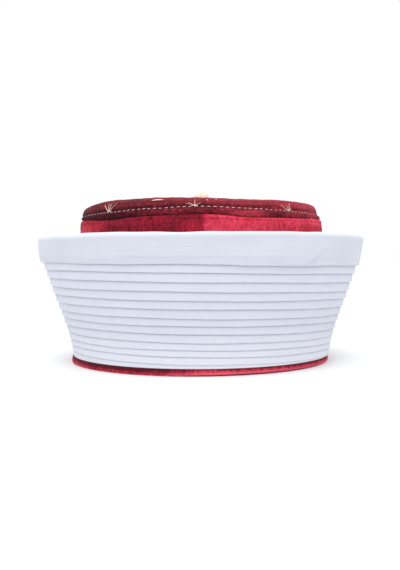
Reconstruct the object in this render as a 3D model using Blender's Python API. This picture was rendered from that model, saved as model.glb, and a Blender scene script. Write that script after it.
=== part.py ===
"""Imam turban: a stiff velvet fez with a long white cloth, the sarik, wound round it.

Metres, +Z up. The origin is the centre of the rim's underside, on which the hat rests. The front looks
along -Y, and angles are measured from the front, positive towards +X, which is the right in a front view.
"""

import math

import bmesh
import bpy

# Fineness and fit
SEGMENTS = 44
BUTTON_SEGMENTS = 20
BUTTON_RINGS = 7
GAP = 0.0003
WELD = 0.000002
SHARP_ANGLE = math.radians(50)

# Fez: the wall tapers from the foot to the collar and rolls over to the crown seam
WALL_THICKNESS = 0.0022
WALL_FOOT_RADIUS = 0.0924
WALL_COLLAR_RADIUS = 0.0898
WALL_COLLAR_HEIGHT = 0.0940
SEAM_HEIGHT = 0.1017
SEAM_INNER_RADIUS = 0.0847  # the seam allowance, turned inward, on which the crown sits
WALL_ROLL = [  # the roll above the collar, drawn in to the seam
    {"radius": 0.0893, "height": 0.0975},
    {"radius": 0.0887, "height": 0.1000},
    {"radius": 0.0874, "height": SEAM_HEIGHT - GAP / 2},
]

# Rim: a velvet binding folded round the wall's lower edge
RIM_RADIUS = 0.0937
RIM_OUTER_HEIGHT = 0.0037
RIM_INNER_HEIGHT = 0.0100
RIM_CLOTH = 0.0010
RIM_CORNER = 0.0006

# Crown: a flat padded panel with a rounded shoulder, pulled down a little at the button
CROWN_THICKNESS = 0.0022
CROWN_PROFILE = [
    {"radius": 0.0867, "height": SEAM_HEIGHT + GAP / 2},
    {"radius": 0.0877, "height": 0.1034},
    {"radius": 0.0876, "height": 0.1053},
    {"radius": 0.0869, "height": 0.1074},
    {"radius": 0.0855, "height": 0.1094},
    {"radius": 0.0831, "height": 0.1112},
    {"radius": 0.0793, "height": 0.1126},
    {"radius": 0.0725, "height": 0.1136},
    {"radius": 0.0500, "height": 0.1146},
    {"radius": 0.0160, "height": 0.1150},
    {"radius": 0.0065, "height": 0.1142},
    {"radius": 0.0000, "height": 0.1141},
]
CROWN_LEAN = 0.0008  # how much the top's left side stands above its middle
CROWN_LEAN_RADIUS = 0.0600  # where the lean is full; it fades out again over the shoulder
CROWN_LEAN_FADE = 0.0200

# Button: a small covered ball on the middle of the crown
BUTTON_RADIUS = 0.0056
BUTTON_TOP = 0.1240
BUTTON_FOOT_RADIUS = 0.0036

# Sarik: a cloth laid in two pleats, so its fold lines make a double helix, two folds to a turn
FOLDS_PER_TURN = 2
FOLDS = [  # each fold line where it crosses the front, from the top down
    {"height": 0.0692, "radius": 0.1146},
    {"height": 0.0642, "radius": 0.1134},
    {"height": 0.0585, "radius": 0.1114},
    {"height": 0.0525, "radius": 0.1093},
    {"height": 0.0470, "radius": 0.1073},
    {"height": 0.0416, "radius": 0.1052},
    {"height": 0.0357, "radius": 0.1030},
    {"height": 0.0310, "radius": 0.1013},
    {"height": 0.0257, "radius": 0.0994},
    {"height": 0.0203, "radius": 0.0977},
    {"height": 0.0154, "radius": 0.0965},
    {"height": 0.0111, "radius": 0.0955},
    {"height": 0.0061, "radius": 0.0945},
]
WINDING_FOOT = {"height": RIM_OUTER_HEIGHT + GAP, "radius": 0.0941}
FOLD_PITCH = 0.0054
FOLD_SWELL = 0.0002  # how far a fold stands out from the line through its edges
FOLD_TUCK = 0.0006  # how far its top runs in under the fold above
FOLD_LIP = 0.0002
FOLD_BELLY = 0.35  # share of its height at which a fold is fullest

# Top band: the last turn, opened out wide, turned over the top edge and tucked in against the fez
BAND_THICKNESS = 0.0015
BAND_EDGE_HEIGHT = 0.0692
BAND_EDGE_SLOPE = 0.0017  # the lower edge falls this much from the front to the right side
BAND_TUCK_DEPTH = 0.0080
BAND_PROFILE = [
    {"radius": 0.1169, "height": BAND_EDGE_HEIGHT},
    {"radius": 0.1177, "height": 0.0722},
    {"radius": 0.1183, "height": 0.0765},
    {"radius": 0.1188, "height": 0.0805},
    {"radius": 0.1193, "height": 0.0842},
    {"radius": 0.1191, "height": 0.0872},
    {"radius": 0.1180, "height": 0.0893},
    {"radius": 0.1158, "height": 0.0902},
    {"radius": 0.1105, "height": 0.0901},
    {"radius": 0.1030, "height": 0.0890},
    {"radius": 0.0965, "height": 0.0872},
    {"radius": 0.0922, "height": 0.0850},
]
BAND_EDGE_ROWS = 2  # profile rows that follow the lower edge's slope
COVER_OVERLAP = 0.0025  # how far the winding's plain shoulder stops above the band's edge

MATERIALS = {
    "red_velvet": {"color": (0.48, 0.012, 0.045, 1), "roughness": 0.75, "metallic": 0.0},
    "wine_velvet": {"color": (0.16, 0.006, 0.020, 1), "roughness": 0.80, "metallic": 0.0},
    "white_cotton": {"color": (0.78, 0.81, 0.88, 1), "roughness": 0.85, "metallic": 0.0},
    "gold_thread": {"color": (0.90, 0.80, 0.55, 1), "roughness": 0.45, "metallic": 0.3},
}


def points_of(table):
    return [(row["radius"], row["height"]) for row in table]


def wall_radius(height):
    """Outside radius of the fez's straight wall at a height."""
    share = height / WALL_COLLAR_HEIGHT
    return WALL_FOOT_RADIUS + (WALL_COLLAR_RADIUS - WALL_FOOT_RADIUS) * share


def offset(profile, distance):
    """The profile moved sideways by distance, to the left of its direction, with mitred corners."""
    moved = []
    for i, (radius, height) in enumerate(profile):
        before = profile[max(i - 1, 0)]
        after = profile[min(i + 1, len(profile) - 1)]
        sides = []
        for start, end in ((before, (radius, height)), ((radius, height), after)):
            run, rise = end[0] - start[0], end[1] - start[1]
            length = math.hypot(run, rise)
            if length > 0:
                sides.append((-rise / length, run / length))
        across = [sum(side[axis] for side in sides) / len(sides) for axis in (0, 1)]
        stretch = distance / (across[0] ** 2 + across[1] ** 2)
        moved.append((radius + across[0] * stretch, height + across[1] * stretch))
    return moved


def interpolate(values, position):
    """Catmull-Rom curve through evenly spaced values, straight on past either end."""
    start = min(max(math.floor(position), 0), len(values) - 2)
    share = position - start
    left, right = values[start], values[start + 1]
    if not 0 <= share <= 1:
        return left + (right - left) * share
    before = values[start - 1] if start > 0 else 2 * left - right
    after = values[start + 2] if start + 2 < len(values) else 2 * right - left
    slope_left, slope_right = (right - before) / 2, (after - left) / 2
    square, cube = share**2, share**3
    return (
        (2 * cube - 3 * square + 1) * left
        + (cube - 2 * square + share) * slope_left
        + (3 * square - 2 * cube) * right
        + (cube - square) * slope_right
    )


def make_material(name):
    material = bpy.data.materials.new(name)
    material.use_nodes = True
    shader = material.node_tree.nodes["Principled BSDF"]
    settings = MATERIALS[name]
    shader.inputs["Base Color"].default_value = settings["color"]
    shader.inputs["Roughness"].default_value = settings["roughness"]
    shader.inputs["Metallic"].default_value = settings["metallic"]
    return material


def turned(name, section, material, segments=SEGMENTS):
    """A solid of one closed section per angle, welded where the ends and the pole meet.

    section(angle) gives (radius, height) points, in the same number at every angle.
    """
    mesh = bmesh.new()
    columns = []
    for step in range(segments + 1):
        angle = -math.pi + 2 * math.pi * step / segments
        columns.append(
            [
                mesh.verts.new((radius * math.sin(angle), -radius * math.cos(angle), height))
                for radius, height in section(angle)
            ]
        )
    rows = len(columns[0])
    for left, right in zip(columns, columns[1:]):
        for row in range(rows):
            below = (row + 1) % rows
            mesh.faces.new((left[row], left[below], right[below], right[row]))
    bmesh.ops.remove_doubles(mesh, verts=mesh.verts, dist=WELD)
    bmesh.ops.dissolve_degenerate(mesh, edges=mesh.edges, dist=WELD)
    loose = [edge for edge in mesh.edges if edge.is_wire]
    bmesh.ops.delete(mesh, geom=loose, context="EDGES")
    bmesh.ops.recalc_face_normals(mesh, faces=mesh.faces)
    data = bpy.data.meshes.new(name)
    mesh.to_mesh(data)
    mesh.free()
    data.shade_smooth()
    data.set_sharp_from_angle(angle=SHARP_ANGLE)
    data.materials.append(material)
    piece = bpy.data.objects.new(name, data)
    bpy.context.scene.collection.objects.link(piece)
    return piece


def build_wall(velvet):
    outside = [(wall_radius(h), h) for h in (RIM_CLOTH + GAP, WALL_COLLAR_HEIGHT)]
    outside += points_of(WALL_ROLL)
    inside = offset(outside, WALL_THICKNESS)
    # The lower and upper edges stay level where the binding and the crown meet them.
    inside[0] = (inside[0][0], outside[0][1])
    inside[-1] = (SEAM_INNER_RADIUS, outside[-1][1])
    section = outside + inside[::-1]
    return turned("fez_wall", lambda angle: section, velvet)


def build_rim(velvet):
    """The binding: an outer lip that shows, a flat underside to rest on and an inner lip."""
    lip_inside = wall_radius(0) + GAP
    inner_lip_outside = wall_radius(0) - WALL_THICKNESS - GAP
    inner_lip_inside = inner_lip_outside - RIM_CLOTH
    section = [
        (inner_lip_inside, RIM_CORNER),
        (inner_lip_inside + RIM_CORNER, 0),
        (RIM_RADIUS - RIM_CORNER, 0),
        (RIM_RADIUS, RIM_CORNER),
        (RIM_RADIUS, RIM_OUTER_HEIGHT - RIM_CORNER),
        (RIM_RADIUS - RIM_CORNER, RIM_OUTER_HEIGHT),
        (lip_inside, RIM_OUTER_HEIGHT),
        (lip_inside, RIM_CLOTH),
        (inner_lip_outside, RIM_CLOTH),
        (inner_lip_outside - GAP, RIM_INNER_HEIGHT),
        (inner_lip_inside - GAP, RIM_INNER_HEIGHT),
    ]
    return turned("rim_binding", lambda angle: section, velvet)


def crown_lean(radius, angle):
    """The padded top leans: its left side stands a little higher than its right."""
    rise = min(radius / CROWN_LEAN_RADIUS, 1)
    fade = min((CROWN_PROFILE[0]["radius"] - radius) / CROWN_LEAN_FADE, 1)
    return -CROWN_LEAN * math.sin(angle) * rise * max(fade, 0)


def build_crown(velvet):
    outside = points_of(CROWN_PROFILE)
    inside = offset(outside, CROWN_THICKNESS)
    inside[0] = (SEAM_INNER_RADIUS, outside[0][1])
    inside[-1] = (0, inside[-1][1])
    flat = outside + inside[::-1]

    def section(angle):
        return [(radius, height + crown_lean(radius, angle)) for radius, height in flat]

    return turned("crown_top", section, velvet)


def build_button(thread):
    """A ball cut flat where it sits in the crown's dimple."""
    foot = CROWN_PROFILE[-2]["height"] + GAP
    middle = BUTTON_TOP - BUTTON_RADIUS
    start = math.asin(BUTTON_FOOT_RADIUS / BUTTON_RADIUS)
    section = [(0, foot), (BUTTON_FOOT_RADIUS, foot)]
    for ring in range(1, BUTTON_RINGS + 1):
        turn = start + (math.pi - start) * ring / BUTTON_RINGS
        section.append((BUTTON_RADIUS * math.sin(turn), middle - BUTTON_RADIUS * math.cos(turn)))
    section[-1] = (0, BUTTON_TOP)
    return turned("crown_button", lambda angle: section, thread, BUTTON_SEGMENTS)


def band_edge(angle):
    """Height of the top band's lower edge, which falls towards the right."""
    return BAND_EDGE_HEIGHT - BAND_EDGE_SLOPE * math.sin(angle)


def tuck_radius(height):
    """Face of the cloth that lies against the fez."""
    return wall_radius(height) + GAP


def band_outside(angle):
    """The sheet's outer face at an angle, from its lower edge over the top and down the tuck."""
    outside = points_of(BAND_PROFILE)
    drop = band_edge(angle) - BAND_EDGE_HEIGHT
    for row in range(BAND_EDGE_ROWS):
        radius, height = outside[row]
        outside[row] = (radius, height + drop)
    tuck_top = outside[-1][1] - 2 * BAND_THICKNESS
    tuck_foot = tuck_top - BAND_TUCK_DEPTH
    return outside + [(tuck_radius(tuck_top), tuck_top), (tuck_radius(tuck_foot), tuck_foot)]


def build_band(cotton):
    def section(angle):
        outside = band_outside(angle)
        inside = offset(outside, BAND_THICKNESS)
        inside[0] = (inside[0][0], outside[0][1])
        inside[-1] = (inside[-1][0], outside[-1][1])
        return outside + inside[::-1]

    return turned("top_band", section, cotton)


def envelope(height):
    """Radius of the winding's outline at a height."""
    rows = FOLDS + [WINDING_FOOT]
    for upper, lower in zip(rows, rows[1:]):
        if height >= lower["height"] or lower is WINDING_FOOT:
            share = (height - lower["height"]) / (upper["height"] - lower["height"])
            return lower["radius"] + (upper["radius"] - lower["radius"]) * share


def fold_line(number, angle, top):
    """Height of a fold line at an angle, kept between the winding's foot and the band's cover."""
    turn = number + FOLDS_PER_TURN * angle / (2 * math.pi)
    height = interpolate([row["height"] for row in FOLDS], turn)
    return min(max(height, WINDING_FOOT["height"]), top)


def fold_section(number, angle, top):
    """Three points of one fold, from under the fold above down to its own lower edge."""
    upper = fold_line(number, angle, top)
    lower = fold_line(number + 1, angle, top)
    share = min((upper - lower) / FOLD_PITCH, 1)
    radius = (envelope(upper) + envelope(lower)) / 2 + FOLD_SWELL * share
    return [
        (radius - FOLD_TUCK * share, upper),
        (radius, upper - FOLD_BELLY * (upper - lower)),
        (radius - FOLD_LIP * share, lower),
    ]


def build_winding(cotton):
    """The wound cloth: stepped folds outside, the band's bed on top and the fez's wall inside."""
    under_band = BAND_THICKNESS + GAP

    def section(angle):
        bed = offset(band_outside(angle), under_band)
        tuck_foot = bed[-1][1]
        shelf = tuck_foot - GAP
        shoulder = bed[BAND_EDGE_ROWS:]
        cover = band_edge(angle) + COVER_OVERLAP
        cover_radius = interpolate([bed[0][0], bed[1][0]], COVER_OVERLAP / (bed[1][1] - bed[0][1]))
        outline = [(cover_radius, cover)]
        for number in range(-FOLDS_PER_TURN - 1, len(FOLDS) + FOLDS_PER_TURN):
            outline += fold_section(number, angle, cover)
        foot = WINDING_FOOT["height"]
        outline += [(WINDING_FOOT["radius"], foot), (wall_radius(foot) + GAP, foot)]
        outline += [(wall_radius(shelf) + GAP, shelf), (shoulder[-1][0], shelf)]
        return outline + shoulder[::-1]

    return turned("sarik_winding", section, cotton)


def main():
    for item in list(bpy.data.objects):
        bpy.data.objects.remove(item, do_unlink=True)
    materials = {name: make_material(name) for name in MATERIALS}
    build_rim(materials["red_velvet"])
    build_wall(materials["red_velvet"])
    build_crown(materials["wine_velvet"])
    build_button(materials["gold_thread"])
    build_winding(materials["white_cotton"])
    build_band(materials["white_cotton"])


main()
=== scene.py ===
"""The looks of an imam turban: a velvet fez with a pleated white cloth, the sarik, wound round it.

Metres, +Z up, the front along -Y. Angles are measured from the front, positive towards +X, the right.
"""

import math

import bmesh
import bpy
import numpy as np
from mathutils import Matrix, Vector


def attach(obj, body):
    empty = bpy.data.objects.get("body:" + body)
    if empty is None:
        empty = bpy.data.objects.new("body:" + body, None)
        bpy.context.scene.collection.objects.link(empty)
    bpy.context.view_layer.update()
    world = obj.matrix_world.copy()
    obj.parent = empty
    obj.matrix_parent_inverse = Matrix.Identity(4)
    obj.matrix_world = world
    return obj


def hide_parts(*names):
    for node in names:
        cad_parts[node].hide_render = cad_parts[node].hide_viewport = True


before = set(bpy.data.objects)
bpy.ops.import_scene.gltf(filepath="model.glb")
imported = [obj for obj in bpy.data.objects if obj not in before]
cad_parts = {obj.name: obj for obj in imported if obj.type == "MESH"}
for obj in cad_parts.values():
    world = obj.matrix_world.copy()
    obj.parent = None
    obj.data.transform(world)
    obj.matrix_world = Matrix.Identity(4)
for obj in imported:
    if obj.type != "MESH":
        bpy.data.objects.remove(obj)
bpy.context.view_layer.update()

# Fineness
COLUMNS = 360
CROWN_COLUMNS = 560
WELD = 0.000002
GAP = 0.0003
LIFT = 0.0010  # the hem touches the surface at its lowest parts only, the rest stands this much off it

# Fez wall
FOOT_RADIUS = 0.0924
COLLAR_RADIUS = 0.0891
COLLAR_HEIGHT = 0.0940
WALL_THICKNESS = 0.0022
WALL_FOOT = 0.0013
SEAM_HEIGHT = 0.1017
SEAM_INNER_RADIUS = 0.0847
WALL_ROLL = [
    {"radius": 0.0890, "height": 0.0962},
    {"radius": 0.0889, "height": 0.0976},
    {"radius": 0.0888, "height": 0.0990},
    {"radius": 0.0886, "height": 0.1004},
    {"radius": 0.0882, "height": 0.1012},
    {"radius": 0.0876, "height": 0.1016},
]
CREASE_HEIGHT = 0.0986  # a faint line pressed into the wall under the crown seam
CREASE_DEPTH = 0.00045
CREASE_DOTS = 150
CREASE_WIDTH = 0.0005
CREASE_DEEPENS = (math.radians(6), math.radians(14))
DARK_SPOT = {"turn": -21.6, "rise": 0.0984, "core": 0.0004, "size": 0.0018, "tone": -0.35}
JOIN_ANGLE = math.radians(0.9)  # the upright join of the velvet, at the front
JOIN_DEPTH = 0.0005
JOIN_WIDTH = math.radians(0.35)
# Heights between which the wall's detail starts, the seam's puckers start, and all of it ends again
WALL_DETAIL = (0.0860, 0.0900)
PUCKER_START = (0.0940, 0.0990)
DETAIL_END = (0.1010, 0.1016)
WALL_RIPPLE = 0.00018
SEAM_PUCKER = 0.00016

# Rim binding
RIM_SECTION = [
    {"radius": 0.0889, "height": 0.0006},
    {"radius": 0.0893, "height": 0.0001},
    {"radius": 0.0899, "height": 0.0000},
    {"radius": 0.0918, "height": 0.0000},
    {"radius": 0.0936, "height": 0.0000},
    {"radius": 0.0944, "height": 0.0000},
    {"radius": 0.0947, "height": 0.0003},
    {"radius": 0.0947, "height": 0.0012},
    {"radius": 0.0945, "height": 0.0023},
    {"radius": 0.0941, "height": 0.0031},
    {"radius": 0.0932, "height": 0.0036},
    {"radius": 0.0927, "height": 0.0034},
    {"radius": 0.0927, "height": 0.0010},
    {"radius": 0.0899, "height": 0.0010},
    {"radius": 0.0896, "height": 0.0100},
    {"radius": 0.0891, "height": 0.0103},
    {"radius": 0.0886, "height": 0.0100},
]
RIM_FACE = (0.0930, 0.0936)  # radii between which the ripples of the binding's outer face start
RIM_RIPPLE = 0.00010
RIM_SHIFT = -0.0009
# How far the hem hangs below its even height, in millimetres, at even steps round from the back
HEM_DROPS = (1.0, 0.6, 0.1, 0.2, 0.5, 0.9, 1.0, 1.0, 0.2, -0.1, 0.0, 0.1, 0.3, 0.6, 1.0, 0.8)
HEM_TOP = 0.0030

# Crown panel
CROWN_THICKNESS = 0.0020
CROWN_PROFILE = [
    {"radius": 0.0872, "height": 0.1018},
    {"radius": 0.0876, "height": 0.1023},
    {"radius": 0.0878, "height": 0.1032},
    {"radius": 0.0877, "height": 0.1045},
    {"radius": 0.0872, "height": 0.1058},
    {"radius": 0.0868, "height": 0.1067},
    {"radius": 0.0863, "height": 0.1081},
    {"radius": 0.0851, "height": 0.1097},
    {"radius": 0.0829, "height": 0.1111},
    {"radius": 0.0793, "height": 0.1122},
    {"radius": 0.0730, "height": 0.1130},
    {"radius": 0.0635, "height": 0.1136},
    {"radius": 0.0500, "height": 0.1141},
    {"radius": 0.0300, "height": 0.1147},
    {"radius": 0.0150, "height": 0.1149},
    {"radius": 0.0075, "height": 0.1145},
    {"radius": 0.0030, "height": 0.1141},
    {"radius": 0.0000, "height": 0.1140},
]
CROWN_LEAN = 0.0012
CROWN_LEAN_RADIUS = 0.0600
CROWN_LEAN_FADE = 0.0120
WALL_SHIFT = 0.0006  # above the band the fez sits a little to the right in its winding
CROWN_SHIFT = -0.0005  # and its crown a little to the left
WALL_SHIFT_RISE = (0.0800, 0.0900)
CROWN_SHIFT_RISE = (0.1000, 0.1060)
STITCH_HEIGHT = 0.1062
STITCH_COUNT = 139
STITCH_SHARE = 0.62
STITCH_GROOVE = 0.00035
STITCH_GROOVE_WIDTH = 0.0009
STITCH_WIDTH = 0.00041
STITCH_RISE = 0.00018
STITCH_SLANT = 0.00006
SEAM_KNOT = {"turn": 60.5, "arc": -0.0049, "half": 0.006, "width": 0.0010, "rise": 0.0006}
# Where the crown's ripples lie, as arc lengths up from the stitching
MARGIN_FOOT = (-0.0045, -0.0033)
MARGIN_TOP = (-0.0019, -0.0004)
PANEL_START = (0.0010, 0.0050)
PANEL_END = (0.0550, 0.0850)
MARGIN_RIPPLE = 0.00026
PANEL_SWELL = 0.00016
PANEL_RIPPLE = 0.00010
# How far the hand-sewn seam and the stitching dip, in millimetres, at even steps round from the back
SEAM_DIPS = (1.4, 0.8, 1.6, 0.7, 0.0, 1.0, 2.6, 1.0, 0.3, 2.3, 1.9, 1.0, 0.3, 1.0, 1.8, 0.9)
STITCH_DIPS = (0.4, 1.0, 0.8, 1.6, 2.0, 2.1, 1.8, 0.7, -0.2, 0.9, 1.7, 1.8, 1.8, 1.2, 0.6, 1.2)
SHOULDER_DIPS = (0.2, 0.5, 0.2, 0.3, 0.5, 0.9, 0.4, 0.3, 0.8, 0.6, -0.3, -0.8, -0.3, 0.2, 0.5, 0.3)
DIP_FOOT = 0.0955
SHOULDER_HEIGHT = 0.1108
DIP_TOP = 0.1145

# Button
BUTTON_RADIUS = 0.0056
BUTTON_TOP = 0.1236
BUTTON_FOOT = 0.1144
BUTTON_WAIST = 0.62  # the ball's radius at its lower edge, as a share of its full radius
BUTTON_BASE = 0.60
BUTTON_COLUMNS = 224
BUTTON_RIBS = 28
BUTTON_RIB_DEPTH = 0.00028
BUTTON_SHIFT = 0.0009

# Sarik pleats
FOLDS_PER_TURN = 2
FOLDS = [
    {"height": 0.0692, "radius": 0.1146},
    {"height": 0.0642, "radius": 0.1134},
    {"height": 0.0585, "radius": 0.1114},
    {"height": 0.0525, "radius": 0.1093},
    {"height": 0.0470, "radius": 0.1073},
    {"height": 0.0416, "radius": 0.1052},
    {"height": 0.0357, "radius": 0.1030},
    {"height": 0.0310, "radius": 0.1013},
    {"height": 0.0257, "radius": 0.0994},
    {"height": 0.0203, "radius": 0.0977},
    {"height": 0.0154, "radius": 0.0965},
    {"height": 0.0111, "radius": 0.0955},
    {"height": 0.0061, "radius": 0.0945},
]
WINDING_FOOT = {"height": 0.0037, "radius": 0.0941}
FOLD_PITCH = 0.0054
FOLD_SWELL = 0.0005
FOLD_SLOPE = 0.50  # how far a strip's face leans with the whole winding, 0 is upright
FOLD_TUCK = 0.00078
FOLD_TUCK_REACH = 0.0006
FOLD_HIDE = 0.0009
FOLD_STEPS = (0.0, 0.05, 0.11, 0.18, 0.27, 0.38, 0.52, 0.70, 0.88)  # shares of the way down a strip
LIP_RADIUS = 0.00042
SHEET_DEPTH = 0.0024  # from the pleats' faces in to the inner face of the folded cloth
FOLD_WANDER = 0.00022
BAND_OVERLAP = 0.0025  # how far the winding goes on up behind the band

# Top band
BAND_THICKNESS = 0.0014
BAND_EDGE_HEIGHT = 0.0692
BAND_EDGE_SLOPE = 0.0017
BAND_EDGE_REACH = 0.0110
BAND_PROFILE = [
    {"radius": 0.1157, "height": 0.0692},
    {"radius": 0.1165, "height": 0.0699},
    {"radius": 0.1171, "height": 0.0712},
    {"radius": 0.1177, "height": 0.0730},
    {"radius": 0.1181, "height": 0.0746},
    {"radius": 0.1183, "height": 0.0762},
    {"radius": 0.1185, "height": 0.0782},
    {"radius": 0.1188, "height": 0.0808},
    {"radius": 0.1191, "height": 0.0834},
    {"radius": 0.1194, "height": 0.0856},
    {"radius": 0.1196, "height": 0.0872},
    {"radius": 0.1193, "height": 0.0884},
    {"radius": 0.1184, "height": 0.0892},
    {"radius": 0.1168, "height": 0.0896},
    {"radius": 0.1148, "height": 0.0897},
    {"radius": 0.1105, "height": 0.0895},
    {"radius": 0.1060, "height": 0.0890},
    {"radius": 0.1010, "height": 0.0882},
    {"radius": 0.0960, "height": 0.0869},
    {"radius": 0.0925, "height": 0.0856},
    {"radius": 0.0908, "height": 0.0841},
    {"radius": 0.0902, "height": 0.0822},
    {"radius": 0.0902, "height": 0.0800},
    {"radius": 0.0903, "height": 0.0765},
]
# How far the band's upper fold sits below its even height, in millimetres, at even steps round from the back
BAND_TOP_DROPS = (0.2, 0.1, 0.0, -0.4, -1.2, 0.3, 0.9, 0.3, 0.6, 0.1, 0.4, 0.6, 0.7, 0.3, 0.1, 0.2)
BAND_LIP = 0.0002
BAND_TOP_ZONE = (0.0800, 0.0880)
BAND_TOP_ROUND = 0.0120
BAND_FREE = (0.0908, 0.0968)  # radii between which the cloth comes free of the fez
BAND_SWELL = 0.00050
BAND_RIPPLE = 0.00016
BAND_GATHER = 0.00050
BAND_HEM = 0.0694
# The band's tucked end, a slanting line at the right beyond which the cloth lies deeper
END_FOOT = 0.0699
END_TOP = 0.0800
END_ANGLE = math.radians(33.9)
END_LEAN = math.radians(7.8)
END_WIDTH = math.radians(0.8)
END_RISE = (0.0750, 0.0830)
END_TURN = (math.radians(62), math.radians(102))
END_DEPTH = 0.0006
END_LOW_DEPTH = 0.0008
END_LOW_ZONE = (0.0696, 0.0806)
# A faint line along the band's foot, left of the tucked end, which runs down to the edge at the far left
HEM_LINE = 0.0737
HEM_LINE_FALL = 0.0037
HEM_LINE_TURN = math.radians(-20)
HEM_LINE_REACH = math.radians(24)
HEM_LINE_DEPTH = 0.0004
HEM_LINE_WIDTH = 0.0012

# Embroidery: how far each ray of a fan leans from straight up the crown in degrees, its reach and width
TALL_FAN = [(-58, 0.0088, 0.00065), (-25, 0.0059, 0.00042), (7, 0.0048, 0.00048), (48, 0.0076, 0.00032)]
LOW_FAN = [(-66, 0.0066, 0.0003), (-50, 0.0052, 0.00034), (0, 0.0105, 0.0004), (52, 0.0050, 0.0004)]
SIDE_FAN = [(-69, 0.0080, 0.0004), (-30, 0.0032, 0.0004), (23, 0.0044, 0.00042), (60, 0.0030, 0.0004)]
SPRIGS = [
    {"turn": -44.0, "rays": TALL_FAN},
    {"turn": -2.1, "rays": LOW_FAN},
    {"turn": 43.0, "rays": SIDE_FAN},
    {"turn": 87.0, "rays": TALL_FAN},
    {"turn": 133.0, "rays": LOW_FAN},
    {"turn": 178.0, "rays": TALL_FAN},
    {"turn": -136.0, "rays": SIDE_FAN},
    {"turn": -90.0, "rays": LOW_FAN},
]
SPRIG_RADIUS = 0.0865  # the crown's radius there, which turns lengths round it into angles
SPRIG_START = 0.0008
RAY_RISE = 0.00026
SPRIG_FOOT = {"half": 0.0017, "arc": 0.0006, "width": 0.0008, "rise": 0.0004}
LEAF_COUNT = 3
LEAF_ANGLE = math.radians(-19)
LEAF_RISE = 0.0004
LEAVES = [
    {"turn": 0.0, "arc": 0.0066, "lean": 82, "length": 0.0090, "width": 0.0015},
    {"turn": 4.0, "arc": 0.0180, "lean": 40, "length": 0.0070, "width": 0.0013},
    {"turn": -5.0, "arc": 0.0185, "lean": -40, "length": 0.0070, "width": 0.0013},
    {"turn": -1.0, "arc": 0.0250, "lean": 0, "length": 0.0100, "width": 0.0012},
    {"turn": 22.4, "arc": 0.0072, "lean": 90, "length": 0.0012, "width": 0.0004},
    {"turn": 26.4, "arc": 0.0076, "lean": 90, "length": 0.0012, "width": 0.0004},
]

# Velvet: its dark, middle and bright colours
WALL_REDS = ((0.10, 0.006, 0.014), (0.34, 0.014, 0.032), (0.70, 0.055, 0.100))
RIM_REDS = ((0.08, 0.006, 0.014), (0.36, 0.025, 0.045), (0.74, 0.100, 0.150))
CROWN_REDS = ((0.030, 0.004, 0.007), (0.13, 0.011, 0.019), (0.36, 0.032, 0.052))
# The pile lies differently round the hat; painted sheen and shade lighten and darken it there, by degrees
# from the front
WALL_TONES = [
    (-180, 0.0), (-90, 0.0), (-72, 0.02), (-60, -0.03), (-52, -0.01), (-48, 0.0), (-43, -0.09),
    (-30, -0.12), (-22, -0.08), (-12, -0.12), (0.5, -0.08), (1.3, 0.07), (4, 0.13), (11, 0.13),
    (16, 0.10), (22, 0.13), (28, 0.15), (38, 0.11), (43, 0.10), (49, 0.17), (56, 0.16),
    (62, 0.19), (90, 0.06), (135, 0.06), (180, 0.0),
]
WALL_LOW_TONES = [
    (-180, 0.0), (-90, 0.06), (-60, 0.08), (-53, 0.05), (-48, -0.04), (-42, -0.09), (-30, -0.04),
    (-10, -0.03), (-5, 0.08), (0, 0.04), (5, 0.0), (26, 0.0), (33, -0.06), (40, -0.07),
    (45, -0.03), (50, -0.13), (62, -0.17), (90, -0.08), (180, 0.0),
]
CROWN_TONES = [(-180, 0.0), (-90, -0.08), (-30, -0.04), (0, 0.01), (60, 0.14), (90, 0.12), (180, 0.0)]
# Painted shade in the margin under the stitching, darkest on the left and right of the front
MARGIN_TONES = [
    (-180, -0.04), (-90, -0.03), (-40, -0.10), (-32, -0.06), (-26, 0.0), (-20, 0.0), (-14, 0.03),
    (0, 0.01), (8, -0.02), (13, 0.01), (17, 0.08), (21, 0.14), (26, 0.07), (31, -0.05), (37, -0.16),
    (42, -0.06), (90, -0.06), (180, -0.04),
]
RIM_TONES = [
    (-180, 0.0), (-90, 0.0), (-62, -0.03), (-48, -0.09), (-20, -0.09), (-8, 0.01), (2, 0.12),
    (25, 0.09), (50, 0.02), (90, 0.0), (180, 0.0),
]
# And up the section, by shares of the way between two rises measured along it in metres
WALL_RISE = (0.0885, 0.1005)
# Painted shade: a thin dark line along the pressed crease, and darker velvet towards the seam above it
WALL_RISE_TONES = [(0.0, 0.02), (0.69, 0.0), (0.73, -0.12), (0.77, 0.0), (0.88, -0.02), (1.0, -0.08)]
WALL_LOW_FADE = (0.0930, 0.0960)
CROWN_RISE = (0.0, 0.0180)
# Painted shade and highlight of soft folds in the padded panel, in bands up from the seam
CROWN_FOLD_SHADES = [
    (0.0, -0.04), (0.20, -0.01), (0.28, -0.09), (0.36, -0.08), (0.44, 0.03), (0.52, -0.04),
    (0.62, 0.06), (0.75, 0.0), (1.0, 0.06),
]
CROWN_FADE = (0.0160, 0.0500)
MARGIN_FADE = (0.0030, 0.0048)
RIM_RISE = (0.0050, 0.0092)
# Painted highlight low on the hem and painted shade along its top, under the winding
RIM_RISE_TONES = [(0.0, 0.30), (0.3, 0.13), (0.75, -0.08), (1.0, -0.16)]

# Cotton and thread
PLEAT_WHITES = ((0.534, 0.560, 0.644), (0.560, 0.583, 0.662))
BAND_WHITES = ((0.488, 0.511, 0.585), (0.538, 0.558, 0.629))
# The white painted over the cotton where the painted highlight and painted light lie
PAINTED_WHITE = (0.86, 0.88, 0.92, 1)
# Painted highlight along the band's upper fold, up the section
FOLD_LIGHT_RISE = (0.0170, 0.0340)
FOLD_LIGHT = [(0.0, 0.0), (0.12, 0.22), (0.25, 0.42), (0.45, 0.30), (1.0, 0.0)]
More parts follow.
